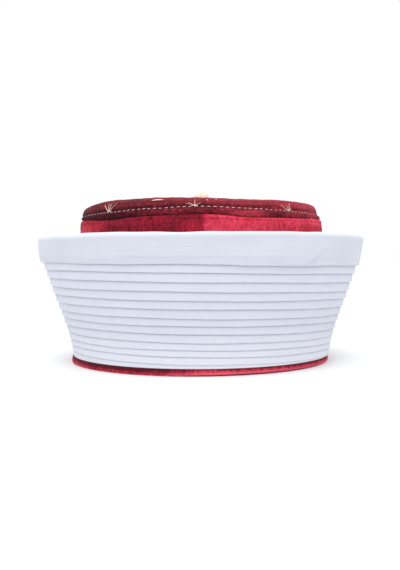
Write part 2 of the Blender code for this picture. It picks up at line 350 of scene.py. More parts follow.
# Painted light whitening the winding towards its foot, by height
FOOT_LIGHT_FADE = (0.0050, 0.0285)
FOOT_LIGHT = 0.28
WEAVE_SCALE = 310.0
TWILL_SCALE = 300.0
STREAKS = (25, 750, 1)  # how often the long faint streaks change round the hat and up it, per metre
GOLD = (0.93, 0.68, 0.52)
CREAM = (0.87, 0.80, 0.64)
ROSE = (1.0, 0.64, 0.59)

# Camera
CAMERA_DISTANCE = 0.5625
CAMERA_HEIGHT = 0.0700
CAMERA_LENS = 47.37
SENSOR = 36.0
CAMERA_SIDE = -0.0006
CAMERA_PITCH = math.radians(1.65)
CAMERA_ROLL = -0.006

# Studio
FLOOR_REACH = 9.0
FLOOR_GREYS = ((0.89, 0.89, 0.89), (0.91, 0.91, 0.91))
FRONT_LIGHT = {"place": (0.0, -2.0, 0.6), "target": (0.0, 0.0, 0.06), "size": 1.2, "power": 5.0}
OVERHEAD_POWER = 1.6
OVERHEAD_SPREAD = 1.1
OVERHEAD_DIRECTION = (0.06, 0.30, -1.0)


def points_of(table):
    return np.array([(row["radius"], row["height"]) for row in table])


def smooth_curve(points, steps):
    """Catmull-Rom curve through the points, with steps pieces between neighbours."""
    padded = np.vstack([2 * points[0] - points[1], points, 2 * points[-1] - points[-2]])
    curve = []
    for a, b, c, d in zip(padded, padded[1:], padded[2:], padded[3:]):
        square = 2 * a - 5 * b + 4 * c - d
        cube = 3 * b - a - 3 * c + d
        for step in range(steps):
            t = step / steps
            curve.append(0.5 * (2 * b + (c - a) * t + square * t**2 + cube * t**3))
    curve.append(points[-1])
    return np.array(curve)


def normals_of(curve):
    """Unit normals to the left of a curve's direction."""
    run = np.gradient(curve, axis=0)
    across = np.stack([-run[:, 1], run[:, 0]], axis=1)
    return across / np.linalg.norm(across, axis=1, keepdims=True)


def smooth_step(value):
    value = np.clip(value, 0, 1)
    return value * value * (3 - 2 * value)


def rising(value, low, high):
    """0 below low and 1 above high, with a soft change between them."""
    return smooth_step((value - low) / (high - low))


def ripples(angle, height, seed, counts, tall):
    """Soft waves of about unit size that close round the hat.

    counts are waves to a turn. Over the height tall each of them moves by a wavelength at most.
    """
    rng = np.random.default_rng(seed)
    total = np.zeros(np.broadcast(angle, height).shape)
    for count in counts:
        phase, lean = rng.uniform(0, 2 * math.pi), rng.uniform(-1, 1)
        total = total + np.cos(count * angle + 2 * math.pi * lean * height / tall + phase)
    return total / math.sqrt(len(counts))


def wall_radius(height):
    return FOOT_RADIUS + (COLLAR_RADIUS - FOOT_RADIUS) * height / COLLAR_HEIGHT


def around(angle, values):
    """Values at even steps round the hat, starting at the back, with soft changes between them."""
    place = (np.asarray(angle) / (2 * math.pi) + 0.5) % 1 * len(values)
    index = np.floor(place).astype(int)
    values = np.array(values)
    share = smooth_step(place - index)
    return values[index % len(values)] * (1 - share) + values[(index + 1) % len(values)] * share


def crown_dip(angle, height):
    """How far the seam and the stitching pull the velvet down from its even height."""
    seam = around(angle, SEAM_DIPS) / 1000
    stitch = around(angle, STITCH_DIPS) / 1000
    shoulder = around(angle, SHOULDER_DIPS) / 1000
    to_stitch = np.clip((height - SEAM_HEIGHT) / (STITCH_HEIGHT - SEAM_HEIGHT), 0, 1)
    to_shoulder = rising(height, STITCH_HEIGHT, SHOULDER_HEIGHT)
    fading = 1 - rising(height, SHOULDER_HEIGHT, DIP_TOP)
    low = seam * (1 - to_stitch) + stitch * to_stitch
    dip = low * (1 - to_shoulder) + shoulder * to_shoulder
    return rising(height, DIP_FOOT, SEAM_HEIGHT) * fading * dip


def column_angles(columns):
    return np.linspace(-math.pi, math.pi, columns + 1)


def finish_mesh(name, mesh, material):
    """Cleans a mesh, lifts it off the surface and links it as a piece."""
    bmesh.ops.remove_doubles(mesh, verts=mesh.verts, dist=WELD)
    bmesh.ops.dissolve_degenerate(mesh, edges=mesh.edges, dist=WELD)
    loose = [edge for edge in mesh.edges if edge.is_wire]
    bmesh.ops.delete(mesh, geom=loose, context="EDGES")
    bmesh.ops.recalc_face_normals(mesh, faces=mesh.faces)
    bmesh.ops.translate(mesh, verts=mesh.verts, vec=(0, 0, LIFT))
    data = bpy.data.meshes.new(name)
    mesh.to_mesh(data)
    mesh.free()
    data.shade_smooth()
    data.materials.append(material)
    piece = bpy.data.objects.new(name, data)
    bpy.context.scene.collection.objects.link(piece)
    return piece


def fez_shift(height):
    """How far right the fez sits at a height."""
    wall = WALL_SHIFT * rising(height, *WALL_SHIFT_RISE)
    return wall + (CROWN_SHIFT - WALL_SHIFT) * rising(height, *CROWN_SHIFT_RISE)


def turned(name, sections, material, shift=None):
    """A ring of closed sections, one (rows, 2) array of radius and height for each angle."""
    columns = len(sections) - 1
    angles = column_angles(columns)
    rows = sections.shape[1]
    radius, height = sections[:, :, 0], sections[:, :, 1]
    east = radius * np.sin(angles)[:, None] + (shift(height) if shift else 0)
    north = -radius * np.cos(angles)[:, None]
    points = np.stack([east, north, height], axis=2)
    middle = sections[columns // 2]
    along = np.linalg.norm(np.diff(middle, axis=0, append=middle[:1]), axis=1)
    across = np.concatenate([[0], np.cumsum(along)])
    mesh = bmesh.new()
    uv = mesh.loops.layers.uv.new("cloth")
    turn = mesh.loops.layers.uv.new("turn")
    grid = [[mesh.verts.new(point) for point in column] for column in points]
    reach = float(radius.max())
    for i in range(columns):
        left, right = grid[i], grid[i + 1]
        for j in range(rows):
            below = (j + 1) % rows
            face = mesh.faces.new((left[j], left[below], right[below], right[j]))
            corners = ((i, j), (i, j + 1), (i + 1, j + 1), (i + 1, j))
            for loop, (a, b) in zip(face.loops, corners):
                loop[uv].uv = (angles[a] * reach, across[b])
                loop[turn].uv = (angles[a] / (2 * math.pi) + 0.5, across[b])
    return finish_mesh(name, mesh, material)


# Materials


def new_material(name, **settings):
    """A material whose Principled shader has these settings on its own sockets."""
    material = bpy.data.materials.new(name)
    material.use_nodes = True
    shader = material.node_tree.nodes["Principled BSDF"]
    for socket, value in settings.items():
        shader.inputs[socket.replace("_", " ").title().replace("Ior", "IOR")].default_value = value
    return material, shader


def node(material, kind, inputs=None, **settings):
    """Adds a node. inputs maps sockets to values or to other nodes' outputs."""
    added = material.node_tree.nodes.new(kind)
    for name, value in settings.items():
        setattr(added, name, value)
    for socket, value in (inputs or {}).items():
        if isinstance(value, bpy.types.NodeSocket):
            material.node_tree.links.new(value, added.inputs[socket])
        else:
            added.inputs[socket].default_value = value
    return added


def ramp(material, factor, stops):
    """A colour ramp; stops are (position, colour)."""
    added = node(material, "ShaderNodeValToRGB", {"Fac": factor})
    elements = added.color_ramp.elements
    while len(elements) < len(stops):
        elements.new(0.5)
    for element, (position, color) in zip(elements, stops):
        element.position = position
        element.color = (*color, 1) if len(color) == 3 else color
    return added.outputs["Color"]


def math_node(material, operation, first, second):
    return node(material, "ShaderNodeMath", {0: first, 1: second}, operation=operation).outputs[0]


def blend(material, *parts):
    """The sum of some tones, each times its share; parts are (share, tone)."""
    total = 0.0
    for share, tone in parts:
        total = math_node(material, "ADD", total, math_node(material, "MULTIPLY", tone, share))
    return total


def fade(material, value, low, high, start=1.0, end=0.0):
    """A number that goes from start to end as the value goes from low to high."""
    sockets = {"Value": value, "From Min": low, "From Max": high, "To Min": start, "To Max": end}
    return node(material, "ShaderNodeMapRange", sockets).outputs[0]


def noise(material, place, scale, detail, roughness=0.5):
    sockets = {"Vector": place, "Scale": scale, "Detail": detail, "Roughness": roughness}
    return node(material, "ShaderNodeTexNoise", sockets).outputs[0]


def bands(material, direction, sockets):
    """Even stripes across a direction."""
    stripes = node(material, "ShaderNodeTexWave", sockets, wave_type="BANDS", bands_direction=direction)
    return stripes.outputs["Fac"]


def bump(material, height, distance, strength, under=None):
    """A bumpy normal, on top of another one where there is one under it."""
    sockets = {"Height": height, "Distance": distance, "Strength": strength}
    if under is not None:
        sockets["Normal"] = under
    return node(material, "ShaderNodeBump", sockets).outputs[0]


def velvet(name, reds, spread, stroke, painted_sheen_and_shade):
    """Short-pile velvet: patches where the pile lies differently, brushed strokes and a soft sheen.

    spread is how far from the middle the darkest and brightest tones lie: a small one gives a lively cloth.
    stroke is how often the strokes change round the hat and up it, per metre. The last argument takes the
    material and returns a brightness shift of painted sheen and shade.
    """
    material, shader = new_material(
        name,
        roughness=0.8,
        specular_ior_level=0.08,
        sheen_weight=0.06,
        sheen_roughness=0.4,
        sheen_tint=(1.0, 0.35, 0.45, 1),
    )
    dark, middle, bright = reds
    place = node(material, "ShaderNodeTexCoord").outputs["Object"]
    cloth = node(material, "ShaderNodeUVMap", uv_map="cloth").outputs[0]
    stroked_place = node(material, "ShaderNodeMapping", {"Vector": cloth, "Scale": stroke}).outputs[0]
    patches = noise(material, place, 520, 4, 0.8)
    broad = noise(material, place, 45, 2)
    strokes = noise(material, stroked_place, 1.0, 3)
    level = blend(material, (0.60, patches), (0.12, broad), (0.28, strokes), (1.0, painted_sheen_and_shade(material)))
    color = ramp(material, level, [(0.5 - spread, dark), (0.5, middle), (0.5 + spread, bright)])
    material.node_tree.links.new(color, shader.inputs["Base Color"])
    pile = noise(material, place, 1900, 2, 0.7)
    lie = bump(material, patches, 0.0005, 0.5)
    material.node_tree.links.new(bump(material, pile, 0.0003, 0.6, lie), shader.inputs["Normal"])
    return material


def shade_value(material, factor, stops):
    """A brightness shift that follows a factor through these stops."""
    shade = ramp(material, factor, [(position, (0.5 + shift,) * 3) for position, shift in stops])
    value = node(material, "ShaderNodeRGBToBW", {"Color": shade}).outputs[0]
    return math_node(material, "SUBTRACT", value, 0.5)


def turn_map(material, axis):
    """The turn map's X, the share of the turn from the back, or its Y, the way up the section in metres."""
    place = node(material, "ShaderNodeUVMap", uv_map="turn").outputs[0]
    return node(material, "ShaderNodeSeparateXYZ", {"Vector": place}).outputs[axis]


def turn_shade(material, stops):
    """A brightness shift round the hat; stops are (degrees from the front, shift)."""
    turn = turn_map(material, "X")
    return shade_value(material, turn, [(degrees / 360 + 0.5, shift) for degrees, shift in stops])


def rise_shade(material, low, high, stops):
    """A brightness shift up the section, from low to high, in metres."""
    share = fade(material, turn_map(material, "Y"), low, high, 0.0, 1.0)
    return shade_value(material, share, stops)


def dark_spot(material):
    """A small dark spot under the seam."""
    girth = 2 * math.pi * COLLAR_RADIUS
    round_hat = math_node(material, "MULTIPLY", turn_map(material, "X"), girth)
    place = node(material, "ShaderNodeCombineXYZ", {"X": round_hat, "Y": turn_map(material, "Y")}).outputs[0]
    spot = ((DARK_SPOT["turn"] / 360 + 0.5) * girth, DARK_SPOT["rise"], 0)
    away = node(material, "ShaderNodeVectorMath", {0: place, 1: spot}, operation="DISTANCE").outputs["Value"]
    return fade(material, away, DARK_SPOT["core"], DARK_SPOT["size"], DARK_SPOT["tone"], 0.0)


def wall_sheen_and_shade(material):
    """The velvet's two lengths meet at the front join; painted sheen and shade make the left one darker than
    the right one, painted shade darkens the pressed crease, and a small dark spot lies under the seam.
    """
    all_up = turn_shade(material, WALL_TONES)
    below = fade(material, turn_map(material, "Y"), *WALL_LOW_FADE)
    low = math_node(material, "MULTIPLY", turn_shade(material, WALL_LOW_TONES), below)
    up = rise_shade(material, *WALL_RISE, WALL_RISE_TONES)
    return blend(material, (1.0, all_up), (1.0, low), (1.0, up), (1.0, dark_spot(material)))


def crown_sheen_and_shade(material):
    """Painted shade darkens the margin under the stitching on the left, painted sheen lightens the crown
    towards the right, and its soft folds get painted shade and highlight.
    """
    rise = turn_map(material, "Y")
    outer = fade(material, rise, *CROWN_FADE)
    top = math_node(material, "MULTIPLY", turn_shade(material, CROWN_TONES), outer)
    low = fade(material, rise, *MARGIN_FADE)
    margin = math_node(material, "MULTIPLY", turn_shade(material, MARGIN_TONES), low)
    streaks = rise_shade(material, *CROWN_RISE, CROWN_FOLD_SHADES)
    return blend(material, (1.0, top), (1.0, margin), (1.0, streaks))


def rim_shade_and_highlight(material):
    """The hem has painted shade along its top under the winding, darkest on the left, and a painted
    highlight low down, brightest at the front.
    """
    up = rise_shade(material, *RIM_RISE, RIM_RISE_TONES)
    return blend(material, (1.0, turn_shade(material, RIM_TONES)), (1.0, up))


def fold_highlight(material):
    """A painted highlight: the band's upper fold is painted nearly white along its edge."""
    return rise_shade(material, *FOLD_LIGHT_RISE, FOLD_LIGHT)


def foot_painted_light(material):
    """Painted light: the winding is painted whiter towards its foot."""
    place = node(material, "ShaderNodeTexCoord").outputs["Object"]
    level = node(material, "ShaderNodeSeparateXYZ", {"Vector": place}).outputs["Z"]
    return fade(material, level, *FOOT_LIGHT_FADE, FOOT_LIGHT, 0.0)


def cotton(name, whites, painted_white_share):
    """Fine white cotton between two tones, with a faint slanting twill.

    The last argument takes the material and returns the share of white painted over the cloth as painted
    light.
    """
    material, shader = new_material(name, roughness=0.88, sheen_weight=0.12, sheen_roughness=0.5)
    shade, light = whites
    place = node(material, "ShaderNodeTexCoord").outputs["Object"]
    cloth = node(material, "ShaderNodeUVMap", uv_map="cloth").outputs[0]
    streaked_place = node(material, "ShaderNodeMapping", {"Vector": cloth, "Scale": STREAKS}).outputs[0]
    threads = {"Vector": cloth, "Scale": WEAVE_SCALE}
    weave = math_node(material, "MULTIPLY", bands(material, "X", threads), bands(material, "Y", threads))
    slubs = noise(material, place, 420, 4)
    height = blend(material, (1.0, weave), (0.8, slubs))
    material.node_tree.links.new(bump(material, height, 0.00012, 0.45), shader.inputs["Normal"])
    clouds = noise(material, place, 60, 3)
    slant = {"Vector": cloth, "Scale": TWILL_SCALE, "Distortion": 1.5, "Detail Scale": 2.0}
    twill = bands(material, "DIAGONAL", slant)
    streaks = noise(material, streaked_place, 1.0, 3)
    tone = blend(material, (0.38, clouds), (0.17, twill), (0.45, streaks))
    plain = ramp(material, tone, [(0.36, shade), (0.64, light)])
    mixed = {"Fac": painted_white_share(material), "Color1": plain, "Color2": PAINTED_WHITE}
    color = node(material, "ShaderNodeMixRGB", mixed).outputs[0]
    material.node_tree.links.new(color, shader.inputs["Base Color"])
    return material


def thread(name, color, metallic):
    """Smooth twisted thread with darker strands in it."""
    material, shader = new_material(name, roughness=0.38, metallic=metallic, sheen_weight=0.2)
    place = node(material, "ShaderNodeTexCoord").outputs["Object"]
    strands = noise(material, place, 1800, 3)
    darker = tuple(0.62 * value for value in color)
    tone = ramp(material, strands, [(0.35, darker), (0.60, color)])
    material.node_tree.links.new(tone, shader.inputs["Base Color"])
    material.node_tree.links.new(bump(material, strands, 0.0001, 0.6), shader.inputs["Normal"])
    return material


# Pieces


def wall_push(angles, height):
    """How far ripples, the line pressed in under the seam and the velvet's join move the wall."""
    detail = rising(height, *WALL_DETAIL)
    waves = WALL_RIPPLE * ripples(angles, height, 3, (17, 23, 31, 44), 0.012)
    puckers = SEAM_PUCKER * ripples(angles, height, 5, (61, 74, 88, 97), 0.01)
    crease = np.exp(-(((height - CREASE_HEIGHT) / CREASE_WIDTH) ** 2))
    dots = 0.65 + 0.35 * np.cos(CREASE_DOTS * angles)
    on_right = 0.3 + 0.7 * rising(angles, *CREASE_DEEPENS)
    join = np.exp(-(((angles - JOIN_ANGLE) / JOIN_WIDTH) ** 2))
    push = (waves - JOIN_DEPTH * join) * detail + puckers * rising(height, *PUCKER_START)
    push = push - CREASE_DEPTH * crease * dots * on_right
    return push * (1 - rising(height, *DETAIL_END))


def make_wall(material):
    angles = column_angles(COLUMNS)[:, None]
    straight_heights = np.linspace(WALL_FOOT, COLLAR_HEIGHT, 24)
    straight = np.stack([wall_radius(straight_heights), straight_heights], axis=1)
    roll = smooth_curve(np.vstack([straight[-1:], points_of(WALL_ROLL)]), 4)[1:]
    outside = np.vstack([straight, roll])
    inside = outside + WALL_THICKNESS * normals_of(outside)
    inside[0, 1] = outside[0, 1]
    inside[-1] = (SEAM_INNER_RADIUS, outside[-1, 1])
    radius, height = outside[:, 0][None, :], outside[:, 1][None, :]
    outer = np.stack([radius + wall_push(angles, height), height - crown_dip(angles, height)], axis=2)
    level = inside[::-1, 1][None, :]
    inner_height = level - crown_dip(angles, level)
    inner = np.stack([np.broadcast_to(inside[::-1, 0], inner_height.shape), inner_height], axis=2)
    return turned("velvet_wall", np.concatenate([outer, inner], axis=1), material, fez_shift)


def make_rim(material):
    angles = column_angles(COLUMNS)[:, None]
    closed = smooth_curve(points_of(RIM_SECTION), 2)
    radius, height = closed[:, 0][None, :], closed[:, 1][None, :]
    push = RIM_RIPPLE * ripples(angles, height, 11, (37, 53, 71), 0.008) * rising(radius, *RIM_FACE)
    hang = around(angles, HEM_DROPS) / 1000 * np.clip(1 - height / HEM_TOP, 0, 1)
    level = np.maximum(height - hang, -LIFT)
    return turned("velvet_rim", np.stack([radius + push, level], axis=2), material, lambda height: RIM_SHIFT)


def crown_lean(radius, angle):
    """How far the crown's lean raises it: the left side is higher than the right."""
    rise = np.minimum(radius / CROWN_LEAN_RADIUS, 1)
    fading = np.clip((CROWN_PROFILE[0]["radius"] - radius) / CROWN_LEAN_FADE, 0, 1)
    return -CROWN_LEAN * np.sin(angle) * rise * fading


def crown_outside():
    """The crown's outer profile with the arc length along it, measured up from the stitching."""
    curve = smooth_curve(points_of(CROWN_PROFILE), 5)
    length = np.concatenate([[0], np.cumsum(np.linalg.norm(np.diff(curve, axis=0), axis=1))])
    start = np.interp(STITCH_HEIGHT, curve[: len(curve) // 2, 1], length[: len(curve) // 2])
    return curve, length - start


def crown_push(angle, arc):
    """How far the padding and the stitching move the crown's surface along its normal."""
    groove = np.exp(-((arc / STITCH_GROOVE_WIDTH) ** 2))
    holes = 0.5 - 0.5 * np.cos(STITCH_COUNT * angle)
    stitching = STITCH_GROOVE * groove * (0.5 + 0.9 * holes * (1 + 0.8 * np.sin(angle) ** 2))
    on_margin = rising(arc, *MARGIN_FOOT) * (1 - rising(arc, *MARGIN_TOP))
    margin = MARGIN_RIPPLE * ripples(angle, arc, 21, (43, 59, 78, 95, 118), 0.005)
    on_panel = rising(arc, *PANEL_START) * (1 - rising(arc, *PANEL_END))
    soft = PANEL_SWELL * ripples(angle, arc, 22, (5, 8, 11), 0.05)
    fine = PANEL_RIPPLE * ripples(angle, arc, 23, (29, 41, 53), 0.02)
    return on_margin * margin + on_panel * (soft + fine) - stitching


def crown_place(angle, arc, lift=0.0):
    """Point on the crown at an angle and an arc length from the stitching, lifted along the normal."""
    curve, length = crown_outside()
    normal = -normals_of(curve)
    radius = np.interp(arc, length, curve[:, 0])
    height = np.interp(arc, length, curve[:, 1])
    out = np.interp(arc, length, normal[:, 0])
    up = np.interp(arc, length, normal[:, 1])
    push = crown_push(angle, arc) + lift
    height = height + crown_lean(radius, angle) - crown_dip(angle, height) + up * push
    radius = radius + out * push
    return np.stack([radius * np.sin(angle) + fez_shift(height), -radius * np.cos(angle), height], axis=-1)


def make_crown(material):
    angles = column_angles(CROWN_COLUMNS)[:, None]
    curve, length = crown_outside()
    outward = -normals_of(curve)
    push = crown_push(angles, length[None, :])
    push[:, -1] = push[:, -1].mean()
    push[:, 0] = 0
    radius = curve[:, 0][None, :] + outward[:, 0] * push
    radius[:, -1] = 0
    level = curve[:, 1][None, :]
    lean = crown_lean(curve[:, 0][None, :], angles)
    height = level + outward[:, 1] * push + lean - crown_dip(angles, level)
    inside = curve[::-4] - CROWN_THICKNESS * outward[::-4]
    inside[0, 0] = 0
    inside[-1] = (SEAM_INNER_RADIUS, curve[0, 1])
    level = inside[:, 1][None, :]
    inner_height = level + crown_lean(inside[:, 0][None, :], angles) - crown_dip(angles, level)
    inner = np.stack([np.broadcast_to(inside[:, 0], inner_height.shape), inner_height], axis=2)
    outer = np.stack([radius, height], axis=2)
    return turned("crown_panel", np.concatenate([outer, inner], axis=1), material, fez_shift)


def make_button(material):
    middle = BUTTON_TOP - BUTTON_RADIUS
    turns = np.linspace(math.asin(BUTTON_WAIST), math.pi, 22)
    waves = 0.5 + 0.5 * np.cos(BUTTON_RIBS * column_angles(BUTTON_COLUMNS))[:, None]
    radius = BUTTON_RADIUS * np.sin(turns)[None, :] * (1 - BUTTON_RIB_DEPTH / BUTTON_RADIUS * waves)
    radius[:, -1] = 0
    height = np.broadcast_to(middle - BUTTON_RADIUS * np.cos(turns), radius.shape)
    ball = np.stack([radius, height], axis=2)
    base = np.array([(0, BUTTON_FOOT), (BUTTON_RADIUS * BUTTON_BASE, BUTTON_FOOT)])
    base = np.broadcast_to(base, (len(ball), 2, 2))
    return turned("button_ball", np.concatenate([base, ball], axis=1), material, lambda height: BUTTON_SHIFT)


def envelope(height):
    """The winding's radius along the tips of its folds, carried on straight above the uppermost one."""
    rows = points_of(FOLDS + [WINDING_FOOT])[::-1]
    inside = np.interp(height, rows[:, 1], rows[:, 0])
    slope = (rows[-1, 0] - rows[-2, 0]) / (rows[-1, 1] - rows[-2, 1])
    return inside + np.maximum(height - rows[-1, 1], 0) * slope


def band_edge(angle):
    """The height of the band's lower edge, which runs down to the right."""
    return BAND_EDGE_HEIGHT - BAND_EDGE_SLOPE * np.sin(angle)


def fold_heights(angles, top):
    """Fold line heights, one row per angle, with the lines that end under the band or at the foot."""
    heights = np.array([row["height"] for row in FOLDS])
    ends = np.array([2 * heights[0] - heights[1], 2 * heights[-1] - heights[-2]])
    numbers = np.arange(-1, len(heights) + 1)
    line = smooth_curve(np.stack([numbers, np.concatenate([ends[:1], heights, ends[1:]])], axis=1), 16)
    wanted = np.arange(-FOLDS_PER_TURN - 1, len(FOLDS) + FOLDS_PER_TURN + 1)
    turn = wanted[None, :] + FOLDS_PER_TURN * angles[:, None] / (2 * math.pi)
    wander = FOLD_WANDER * np.cos(2.3 * turn * math.pi + 1.1) * np.cos(5.1 * turn * math.pi + 0.4)
    lines = np.interp(turn, line[:, 0], line[:, 1]) + wander
    lines = np.where(turn < -1, top[:, None] + 0.001, lines)
    lines = np.where(turn > len(FOLDS), 0, lines)
    return np.clip(lines, WINDING_FOOT["height"], top[:, None])


def strip_rows(upper, lower, cover, depth, reach):
    """A strip's section, from under the strip above, down its face and round its lip: radii and heights."""
    share = np.clip((upper - lower) / FOLD_PITCH, 0, 1)
    whole = np.minimum(share * 2, 1)
    hide = FOLD_HIDE * whole * smooth_step((cover - upper) / 0.001)
    lip = LIP_RADIUS * whole
    tall = upper - lower - lip
    edge = envelope(lower + lip) + FOLD_SWELL * share
    rows = [(edge - depth * share, upper + hide)]
    for down in FOLD_STEPS:
        high = upper - down * tall
        tuck = depth * share * np.exp(-down * tall / reach)
        rows.append((edge + FOLD_SLOPE * (envelope(high) - envelope(lower + lip)) - tuck, high))
    for turn in np.radians([0, 45, 90, 135, 180]):
        rows.append((edge - lip * (1 - math.cos(turn)), lower + lip * (1 - math.sin(turn))))
    return rows


def make_sarik(material):
    """The folded cloth: every strip hangs from under the one above, to a rounded lip, and turns back up."""
    angles = column_angles(COLUMNS)
    cover = band_edge(angles) + BAND_OVERLAP
    lines = fold_heights(angles, cover)
    depth = FOLD_TUCK * (0.7 + 0.3 * np.cos(angles) ** 2 - 0.06 * np.sin(angles))
    reach = FOLD_TUCK_REACH * (1 + np.sin(angles) ** 2)
    rows = [(envelope(cover), cover)]
    for upper, lower in zip(lines.T, lines.T[1:]):
        rows += strip_rows(upper, lower, cover, depth, reach)
    foot = WINDING_FOOT["height"]
    rows.append((np.full(len(angles), WINDING_FOOT["radius"]), np.full(len(angles), foot)))
    for level in np.linspace(0, 1, 12):
        high = foot + (cover - foot) * level
        rows.append((np.maximum(envelope(high) - SHEET_DEPTH, wall_radius(high) + GAP), high))
    sections = np.stack([np.stack(row, axis=1) for row in rows], axis=1)
    return turned("sarik_pleats", sections, material)


def end_line(height):
    """The angle of the band's tucked end, which leans to the right as it goes up."""
    return END_ANGLE + END_LEAN * np.clip((height - END_FOOT) / (END_TOP - END_FOOT), 0, 1)


def end_dip(angle, height):
    """How much deeper the band lies to the right of its tucked end."""
    beyond = smooth_step((angle - end_line(height)) / END_WIDTH) * (1 - rising(angle, *END_TURN))
    shown = rising(height, BAND_HEM, BAND_HEM + 0.0025) * (1 - rising(height, *END_RISE))
    low_foot, low_top = END_LOW_ZONE
    lower = np.clip((low_top - height) / (low_top - low_foot), 0, 1)
    return (END_DEPTH + END_LOW_DEPTH * lower) * beyond * shown


def hem_dip(angle, height):
    """How much deeper the band lies below the faint line along its foot."""
    line = HEM_LINE - HEM_LINE_FALL * np.clip((HEM_LINE_TURN - angle) / HEM_LINE_REACH, 0, 1)
    below = smooth_step((line - height) / HEM_LINE_WIDTH + 0.5)
    below = below * rising(height, BAND_HEM, BAND_HEM + HEM_LINE_WIDTH)
    return HEM_LINE_DEPTH * below * smooth_step((end_line(height) - angle) / math.radians(6))


def band_push(angle, height, inward):
    """Soft waves in the band, the lie of its tucked end at the right, and gathers over its top."""
    soft = BAND_SWELL * ripples(angle, height, 31, (3, 5, 7), 0.03)
    fine = BAND_RIPPLE * ripples(angle, height, 32, (13, 19, 27), 0.02)
    face = soft + fine - end_dip(angle, height) - hem_dip(angle, height)
    gathers = BAND_GATHER * ripples(angle, height, 33, (23, 37, 52, 71), 0.05)
    return face * (1 - inward) + gathers * inward


def make_band(material):
    angles = column_angles(COLUMNS)[:, None]
    outside = smooth_curve(points_of(BAND_PROFILE), 4)
    inside = outside + BAND_THICKNESS * normals_of(outside)
    inside[0, 1] = outside[0, 1] + BAND_LIP
    level = outside[:, 1]
    peak = int(np.argmax(level))
    inward = np.zeros(len(outside))
    inward[peak:] = smooth_step((outside[peak, 0] - outside[peak:, 0]) / BAND_TOP_ROUND)
    push = band_push(angles, level[None, :], inward[None, :]) * rising(outside[:, 0], *BAND_FREE)
    near_edge = 1 - rising(level, BAND_EDGE_HEIGHT, BAND_EDGE_HEIGHT + BAND_EDGE_REACH)
    near_edge[peak:] = 0
    drop = (band_edge(angles) - BAND_EDGE_HEIGHT) * near_edge
    drop = drop - around(angles, BAND_TOP_DROPS) / 1000 * rising(level, *BAND_TOP_ZONE)
    normal = -normals_of(outside)
    across, up = push * normal[:, 0], push * normal[:, 1] + drop
    outer = np.stack([outside[:, 0] + across, level + up], axis=2)
    inner = np.stack([inside[:, 0] + across, inside[:, 1] + up], axis=2)[:, ::-1]
    return turned("sarik_band", np.concatenate([outer, inner], axis=1), material)


def add_thread(mesh, path, normals, widths, heights, sides=6):
    """Adds a closed raised thread along a path on a surface, as wide and high as each step says."""
    count = len(path)
    tangent = np.gradient(path, axis=0)
    tangent /= np.linalg.norm(tangent, axis=1, keepdims=True)
    side = np.cross(normals, tangent)
    side /= np.linalg.norm(side, axis=1, keepdims=True)
    rings = []
    for i in range(count):
        ring = []
        for k in range(sides):
            turn = 2 * math.pi * k / sides
            offset = side[i] * (widths[i] / 2 * math.cos(turn)) + normals[i] * (heights[i] * math.sin(turn))
            ring.append(mesh.verts.new(path[i] + offset))
        rings.append(ring)
    for first, second in zip(rings, rings[1:]):
        for k in range(sides):
            after = (k + 1) % sides
            mesh.faces.new((first[k], first[after], second[after], second[k]))
    mesh.faces.new(rings[0][::-1])
    mesh.faces.new(rings[-1])


def surface_thread(mesh, angles, arcs, width, height, taper):
    """A thread on the crown through these angles and arc lengths. taper gives its shape along it."""
    path = crown_place(angles, arcs)
    normals = crown_place(angles, arcs, 0.001) - path
    normals /= np.linalg.norm(normals, axis=1, keepdims=True)
    shape = taper(np.linspace(0, 1, len(angles)))
    add_thread(mesh, path, normals, width * shape, height * shape)


def swelling(ends, power=1.0):
    """A thread's shape that is full in its middle and thinner at both ends."""
    return lambda along: ends + (1 - ends) * np.sin(math.pi * along) ** power


def make_stitches(material):
    """The running stitch that holds the padded panel down all round, and a knot in the seam."""
    mesh = bmesh.new()
    mesh.loops.layers.uv.new("cloth")
    pitch = 2 * math.pi / STITCH_COUNT
    rng = np.random.default_rng(41)
    for number in range(STITCH_COUNT):
        middle = pitch * (number + 0.5) + rng.normal(0, 0.03) * pitch
        half = pitch * STITCH_SHARE / 2 * rng.uniform(0.9, 1.08)
        angles = np.linspace(middle - half, middle + half, 7)
        slant = STITCH_SLANT + rng.normal(0, 0.00012)
        arcs = rng.normal(0, 0.00005) + np.linspace(-slant, slant, 7)
        surface_thread(mesh, angles, arcs, STITCH_WIDTH, STITCH_RISE, swelling(0.15, 0.6))
    middle = math.radians(SEAM_KNOT["turn"])
    angles = np.linspace(middle - SEAM_KNOT["half"], middle + SEAM_KNOT["half"], 7)
    arcs = np.full(7, SEAM_KNOT["arc"])
    surface_thread(mesh, angles, arcs, SEAM_KNOT["width"], SEAM_KNOT["rise"], swelling(0.2))
    return finish_mesh("stitch_ring", mesh, material)


def add_sprig(mesh, sprig):
    """A fan of rays that stands on the running stitch, with a thick foot across it."""
    middle = math.radians(sprig["turn"])
    for degrees, length, width in sprig["rays"]:
        lean = math.radians(degrees)
        reach = np.linspace(SPRIG_START, length, 12)
        angles = middle + reach * math.sin(lean) / SPRIG_RADIUS
        surface_thread(mesh, angles, reach * math.cos(lean), width, RAY_RISE, lambda along: 1 - 0.6 * along)
    foot = np.linspace(-SPRIG_FOOT["half"], SPRIG_FOOT["half"], 9)
    arcs = np.full(9, SPRIG_FOOT["arc"])
    angles = middle + foot / SPRIG_RADIUS
    surface_thread(mesh, angles, arcs, SPRIG_FOOT["width"], SPRIG_FOOT["rise"], swelling(0.3))


def add_leaf(mesh, middle, leaf):
    lean = math.radians(leaf["lean"])
    reach = np.linspace(-0.5, 0.5, 13) * leaf["length"]
    angles = middle + math.radians(leaf["turn"]) + reach * math.sin(lean) / SPRIG_RADIUS
    arcs = leaf["arc"] + reach * math.cos(lean)
    surface_thread(mesh, angles, arcs, leaf["width"], LEAF_RISE, swelling(0.08))


